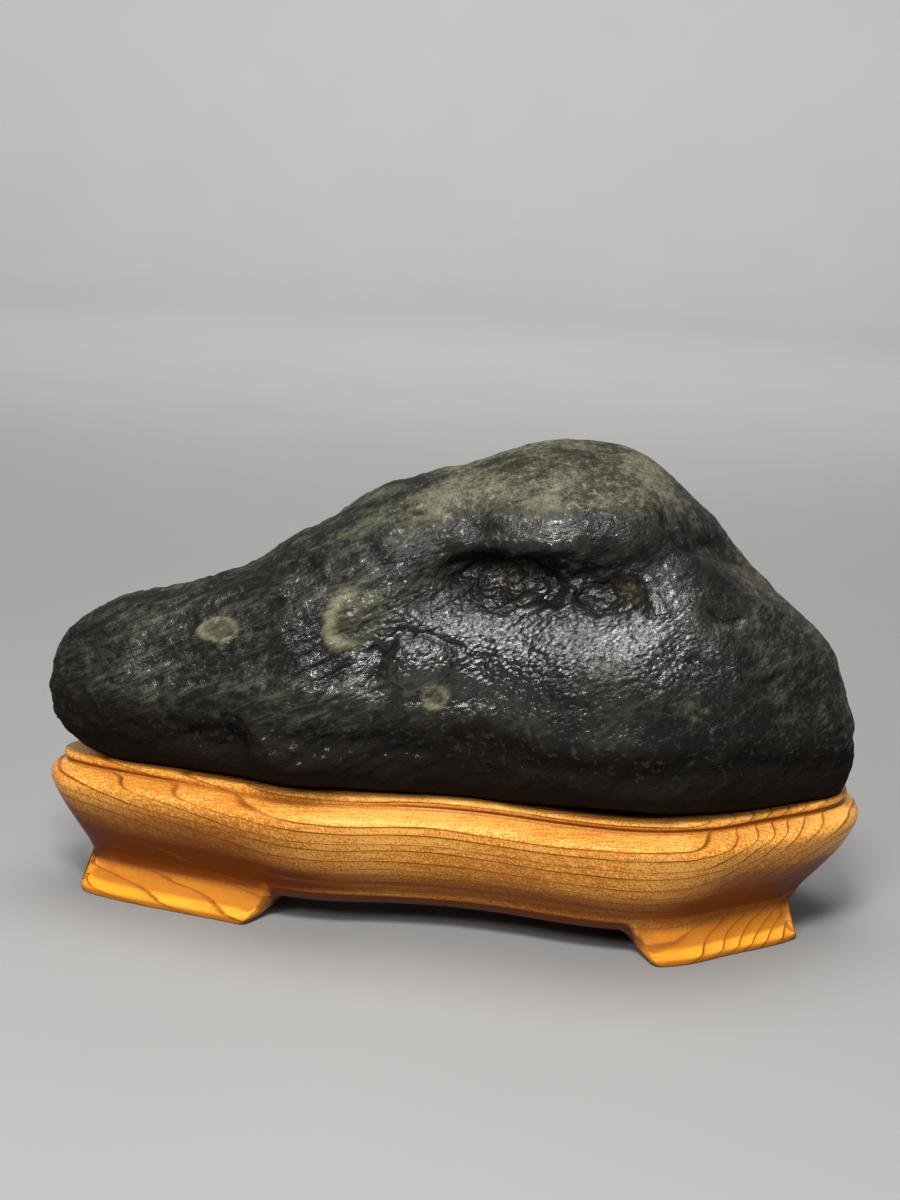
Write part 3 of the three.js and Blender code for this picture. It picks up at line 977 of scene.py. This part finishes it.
def year_rings(tree, place, fibre):
    """How far each point lies through the ring of its year, from 0 to 1."""
    along = part_of(tree, place, "X")
    waves = Wire.make(tree, "ShaderNodeTexNoise", {}, {
        "Vector": stretch(tree, place, WAVE_SIZE), "Scale": 1.0, "Detail": 2.0}, "Color")
    wavy = Wire.make(tree, "ShaderNodeVectorMath", {"operation": "MULTIPLY_ADD"}, {
        0: waves, 1: WAVE_REACH, 2: place})
    swell = along.ramp(0.0, 0.06) * along.ramp(0.125, 0.07) * SWELL - along.ramp(-0.045, -0.15) * BEND
    swelling = Wire.make(tree, "ShaderNodeCombineXYZ", {}, {"Y": swell})
    swollen = Wire.make(tree, "ShaderNodeVectorMath", {"operation": "ADD"}, {0: wavy, 1: swelling})
    from_pith = Wire.make(tree, "ShaderNodeMapping", {"vector_type": "POINT"}, {
        "Vector": swollen, "Location": [-part * MM for part in PITH], "Scale": (0, 1, 1)})
    radius = Wire.make(tree, "ShaderNodeVectorMath", {"operation": "LENGTH"}, {0: from_pith}, "Value")
    seasons = Wire.make(tree, "ShaderNodeTexNoise", {"noise_dimensions": "1D"}, {
        "W": radius, "Scale": 1 / SEASON_SIZE, "Detail": 1.0})
    tilted = radius - along.ramp(0.082, 0.152) * TILT - along.ramp(-0.055, -0.150) * LEFT_TILT
    return (tilted / RING_STEP + seasons * 1.1 + (fibre - 0.5) * 0.10).fraction()


print("year rings:", round(RING_STEP / MM, 1), "mm apart, pith", -PITH[2], "mm under the feet")

# %% [markdown]
# ## The varnish on the wood
# The varnish is honey on the ledge and gold on the toes. Where the wood looks down, low on the body,
# towards its two ends and in the groove, it is darkened to a deep brown as painted shade. A clear coat over
# plain wood would shine white on the dark parts, so the colour of the varnish is in the blends, and the
# gloss is tinted. Short flecks and a fine slanting hatch are the pores that the knife cut.

# %% Wood material
HONEY = (0.78, 0.385, 0.085, 1)
AMBER = (0.47, 0.150, 0.014, 1)
LATE_WOOD = (0.155, 0.044, 0.006, 1)
VARNISH_TINT = (1.0, 0.70, 0.38, 1)
PAINTED_SHADE_BROWN = (0.108, 0.018, 0.0015, 1)
TOE_GOLD = (0.90, 0.34, 0.020, 1)
PAINTED_GROOVE_SHADE = (0.260, 0.076, 0.010, 1)
FIBRE_SIZE = (0.012, 0.0007, 0.0007)
FLECK_SIZE = (0.0045, 0.0005, 0.0005)
HATCH_SIZE = (0.0005, 0.0005, 0.0014)
HATCH_TURN = (0, 0.5, 0)
STRENGTH_SIZE = (0.05, 0.012, 0.012)
TONE_SIZE = (0.06, 0.02, 0.02)
WOOD_BUMP = 0.0004


def wood_material():
    """Varnished orange wood with solid year rings."""
    material, tree, shader = new_material("varnished_wood")
    place = object_place(tree)
    along = part_of(tree, place, "X")
    height_up = part_of(tree, place, "Z")
    fibre = cloud(tree, stretch(tree, place, FIBRE_SIZE), 1.0, 3.0)
    flecks = cloud(tree, stretch(tree, place, FLECK_SIZE), 1.0, 1.0)
    hatch = cloud(tree, stretch(tree, place, HATCH_SIZE, HATCH_TURN), 1.0, 2.0)
    year = year_rings(tree, place, fibre)
    line = year.ramp(0.82, 0.94) * year.ramp(1.0, 0.96)
    shade = year.ramp(0.30, 0.98)
    strength = cloud(tree, stretch(tree, place, STRENGTH_SIZE), 1.0, 2.0).ramp(0.3, 0.6, 0.6, 1.0)
    tone = cloud(tree, stretch(tree, place, TONE_SIZE), 1.0, 3.0)

    colour = blend(tree, (tone + (hatch - 0.5) * 1.9 + (fibre - 0.5)).ramp(0.28, 0.74), HONEY, AMBER)
    feet = along.ramp(-0.060, -0.072) + along.ramp(0.064, 0.076)
    colour = blend(tree, height_up.ramp(0.014, 0.009) * feet * 0.8, colour, TOE_GOLD)
    colour = blend(tree, shade * strength * 0.45, colour, AMBER)
    # Painted shade: the wood is darkened where it looks down, low on the body and towards both ends of the
    # body, but not on the toes.
    painted_shade = attribute(tree, "painted_shade") + height_up.ramp(0.027, 0.014) * 0.6
    painted_shade = painted_shade + along.ramp(-0.02, -0.10) * height_up.ramp(0.045, 0.036) * 0.70
    painted_shade = painted_shade + along.ramp(0.07, 0.12) * height_up.ramp(0.044, 0.034) * 0.30
    painted_shade = painted_shade * (1 - height_up.ramp(0.014, 0.010) * feet)
    colour = blend(tree, painted_shade * 0.90, colour, PAINTED_SHADE_BROWN)
    # The lowest two millimetres are darkened with the same brown.
    colour = blend(tree, height_up.ramp(0.0034, 0.0016) * 0.6, colour, PAINTED_SHADE_BROWN)
    colour = blend(tree, line * strength * 0.95, colour, LATE_WOOD)
    colour = blend(tree, flecks.ramp(0.60, 0.78) * 0.35, colour, LATE_WOOD)
    # Painted shade: the grooves of the moulding are darkened to a deep brown.
    colour = blend(tree, attribute(tree, "dent").ramp(0.01, 0.16) * 0.7, colour, PAINTED_GROOVE_SHADE)
    roughness = 0.34 + (fibre - 0.5) * 0.2 + line * 0.08
    height = fibre * 0.4 + hatch * 0.4 - line * strength * 0.15
    bump = Wire.make(tree, "ShaderNodeBump", {}, {
        "Height": height, "Strength": 0.5, "Distance": WOOD_BUMP})
    plug(tree, shader, {"Base Color": colour, "Roughness": roughness, "Normal": bump, "IOR": 1.45,
                        "Specular IOR Level": 0.24, "Specular Tint": VARNISH_TINT})
    return material


stand.data.materials.clear()
stand.data.materials.append(wood_material())
print("wood material:", len(stand.data.materials[0].node_tree.nodes), "nodes")

# %% [markdown]
# ## The floor
# A round studio floor that sweeps up into a low wall has no edge to be seen from any side, so the object
# can be turned in front of the camera. A bent sheet of paper would do for one view, but it shows its ends
# from the side. So a profile is spun once round. The paper is plain, and no paler than it has to be,
# because the wax reflects it.

# %% Floor
FLOOR_RADIUS = 2.2
SWEEP_RADIUS = 0.7
WALL_TOP = 1.3
FLOOR_PARTS = 96
SWEEP_PARTS = 12
FLOOR_COLOUR = (0.22, 0.217, 0.212, 1)
FLOOR_SHADE = (0.205, 0.202, 0.197, 1)
PAPER_PATCH = 0.15


def studio_floor():
    """A disc with a wall that it curves up to."""
    shape = bmesh.new()
    line = [(0, 0), (FLOOR_RADIUS, 0)]
    for part in range(1, SWEEP_PARTS + 1):
        turn = math.pi / 2 * part / SWEEP_PARTS
        line.append((FLOOR_RADIUS + SWEEP_RADIUS * math.sin(turn), SWEEP_RADIUS * (1 - math.cos(turn))))
    line.append((FLOOR_RADIUS + SWEEP_RADIUS, WALL_TOP))
    points = [shape.verts.new((across, 0, up)) for across, up in line]
    edges = [shape.edges.new(pair) for pair in zip(points[:-1], points[1:])]
    bmesh.ops.spin(shape, geom=points + edges, cent=(0, 0, 0), axis=(0, 0, 1), angle=2 * math.pi,
                   steps=FLOOR_PARTS, use_merge=True)
    bmesh.ops.remove_doubles(shape, verts=shape.verts, dist=0.01 * MM)
    bmesh.ops.recalc_face_normals(shape, faces=shape.faces)
    floor = new_piece("studio_floor", shape)
    floor.data.shade_smooth()
    material, tree, shader = new_material("studio_paper")
    paper = cloud(tree, object_place(tree), PAPER_PATCH, 2.0)
    plug(tree, shader, {"Base Color": blend(tree, paper, FLOOR_COLOUR, FLOOR_SHADE), "Roughness": 0.8})
    floor.data.materials.append(material)
    return floor


floor = studio_floor()
print("floor:", len(floor.data.polygons), "faces")

# %% [markdown]
# ## The light
# Waxed stone shows what it reflects. A small key panel over the front draws the gloss on the brow and the
# cheek in narrow glints, a wide panel overhead fills the crown, and two weaker panels light the sides.
# One more panel faces the wall behind, so that the dark outline stands out against it. A sky picture
# could do all this at once, but single panels can be moved one by one until each highlight is in its
# place.

# %% Light
STONE_MIDDLE = (0, 0, 0.1)
WALL_MIDDLE = (0, 2.9, 0.7)
PANELS = (
    # name, place, what it faces, size, power in watts
    ("key_panel", (-0.10, -0.66, 0.92), STONE_MIDDLE, (0.28, 0.22), 15.2),
    ("overhead_panel", (0.0, 0.05, 1.05), STONE_MIDDLE, (0.70, 0.50), 10),
    ("side_panel", (-0.52, -0.95, 0.80), STONE_MIDDLE, (0.34, 0.28), 6.5),
    ("right_panel", (0.60, -0.85, 0.70), STONE_MIDDLE, (0.40, 0.30), 2.5),
    ("backdrop_panel", (0.0, 1.30, 1.80), WALL_MIDDLE, (2.0, 0.6), 105),
)
ROOM_LIGHT = (1.0, 0.97, 0.93, 1)
ROOM_STRENGTH = 0.14


def hang_panel(name, place, aim, size, power):
    """A rectangular lamp that faces a point."""
    lamp = bpy.data.lights.new(name, "AREA")
    lamp.shape = "RECTANGLE"
    lamp.size, lamp.size_y = size
    lamp.energy = power
    panel = bpy.data.objects.new(name, lamp)
    panel.location = place
    panel.rotation_euler = (Vector(aim) - Vector(place)).to_track_quat("-Z", "Y").to_euler()
    bpy.context.scene.collection.objects.link(panel)


for panel in PANELS:
    hang_panel(*panel)
room = bpy.data.worlds.new("room")
room.use_nodes = True
background = room.node_tree.nodes["Background"]
background.inputs["Color"].default_value = ROOM_LIGHT
background.inputs["Strength"].default_value = ROOM_STRENGTH
bpy.context.scene.world = room
bpy.context.scene.view_settings.view_transform = "Standard"
print("light:", len(PANELS), "panels and the room")

# %% [markdown]
# ## Joining the frame
# Both pieces are rigid and ride on the one body. Each stands for its CAD node, which is hidden but stays
# in the physics model.

# %% Ride and replace
for piece, node, slot in ((stone, "stone", "stone"), (stand, "stand", "stand_wood")):
    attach(piece, "root")
    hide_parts(node)
    triangles = sum(len(face.vertices) - 2 for face in piece.data.polygons)
    print(piece.name, triangles, "triangles")
